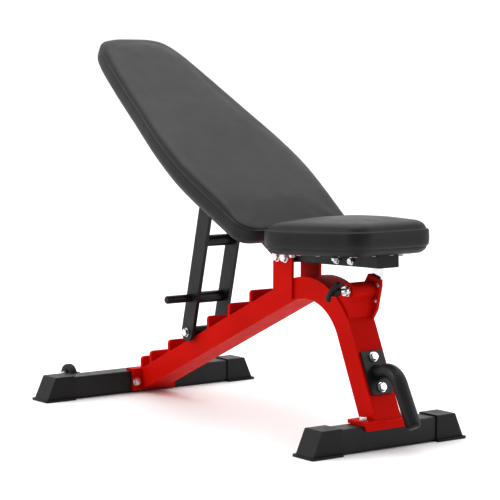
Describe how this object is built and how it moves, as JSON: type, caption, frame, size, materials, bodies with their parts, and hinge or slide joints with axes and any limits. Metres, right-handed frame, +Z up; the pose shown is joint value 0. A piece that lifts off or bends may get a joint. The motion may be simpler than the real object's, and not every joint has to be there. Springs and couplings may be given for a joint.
{
  "type": "adjustable weight bench",
  "caption": "Adjustable weight bench with a padded back propped by a toothed rail and ladder, a tilting padded seat with a pull pin, a front handle and rear wheels.",
  "frame": {"origin": "on the floor, at the centre of the bench's outline in plan", "axes": "+X from the head end towards the seat and front handle, +Y to the left of a person sitting facing +X, +Z up"},
  "size_m": [1.0646, 0.604, 0.8351],
  "materials": {
    "red_paint": "gloss powder coat",
    "black_paint": "satin powder coat",
    "black_plastic": "fine moulded grain",
    "black_vinyl": "satin grained vinyl",
    "zinc_steel": "bright zinc",
    "chrome": "polished",
    "spring_steel": "bright",
    "plywood": "black backing cloth over plywood",
    "wheel_rubber": "matt tread"
  },
  "bodies": {
    "frame": {"front_crossbar": "black_paint", "rear_crossbar": "black_paint", "foot_cap_front_left": "black_plastic", "foot_cap_front_right": "black_plastic", "foot_cap_rear_left": "black_plastic", "foot_cap_rear_right": "black_plastic", "front_base_plate": "red_paint", "rear_mount_plate": "red_paint", "front_foot_bolts": "zinc_steel", "rear_foot_bolts": "zinc_steel", "front_leg_arch": "red_paint", "main_rail": "red_paint", "ladder_teeth": "red_paint", "upright_left": "red_paint", "upright_right": "red_paint", "back_pivot_bolt": "zinc_steel", "seat_pivot_bolt": "zinc_steel", "handle_plate": "black_paint", "front_handle": "black_paint", "handle_end_cap": "black_plastic", "handle_bolts": "zinc_steel", "pin_housing": "red_paint", "pin_housing_block": "red_paint", "seat_guide_plate": "red_paint", "guide_plate_screws": "zinc_steel", "pin_barrel": "chrome", "pin_spring": "spring_steel", "wheel_brackets": "black_paint", "wheel_axle_bolts": "zinc_steel"},
    "backrest": {"back_pivot_sleeve": "black_paint", "back_frame_tube": "black_paint", "back_tube_plug": "black_plastic", "back_cross_plates": "black_paint", "back_board": "plywood", "back_pad": "black_vinyl", "back_pad_screws": "zinc_steel", "ladder_pivot_tube": "black_paint", "ladder_pivot_bolt": "zinc_steel"},
    "ladder": {"ladder_bar_left": "black_paint", "ladder_bar_right": "black_paint", "ladder_top_crossbar": "black_paint", "ladder_mid_crossbar": "black_paint", "ladder_foot_bar": "black_paint", "ladder_handle_rod": "black_paint", "ladder_foot_bolt": "zinc_steel"},
    "seat": {"seat_pivot_sleeve": "black_paint", "seat_tube": "black_paint", "seat_tube_plug": "black_plastic", "seat_wings": "black_paint", "seat_board": "plywood", "seat_pad": "black_vinyl", "seat_pad_screws": "zinc_steel", "seat_arc": "chrome", "seat_arc_spacer": "black_paint", "seat_arc_bolts": "zinc_steel"},
    "seat_pin": {"pull_pin": "chrome", "pin_hub": "black_plastic", "pin_lever": "black_plastic"},
    "wheel_left": {"wheel_left": "wheel_rubber"},
    "wheel_right": {"wheel_right": "wheel_rubber"}
  },
  "joints": [
    {"name": "backrest_tilt", "type": "hinge", "parent": "frame", "child": "backrest", "pos_m": [0.11892, 0, 0.373], "axis": [0, 1, 0], "range_deg": [0, 42.5]},
    {"name": "ladder_swing", "type": "hinge", "parent": "backrest", "child": "ladder", "pos_m": [-0.12687, 0, 0.51283], "axis": [0, 1, 0], "range_deg": [-42.5, 0]},
    {"name": "seat_tilt", "type": "hinge", "parent": "frame", "child": "seat", "pos_m": [0.14692, 0, 0.373], "axis": [0, -1, 0], "range_deg": [0, 14]},
    {"name": "pin_pull", "type": "slide", "parent": "frame", "child": "seat_pin", "axis": [0, -1, 0], "range_m": [-0.012, 0]},
    {"name": "wheel_left_spin", "type": "hinge", "parent": "frame", "child": "wheel_left", "pos_m": [-0.49908, 0.187, 0.046], "axis": [0, 1, 0], "continuous": true},
    {"name": "wheel_right_spin", "type": "hinge", "parent": "frame", "child": "wheel_right", "pos_m": [-0.49908, -0.187, 0.046], "axis": [0, 1, 0], "continuous": true}
  ],
  "couplings": [
    {"joint": "ladder_swing", "follows": "backrest_tilt", "ratio": -1}
  ]
}
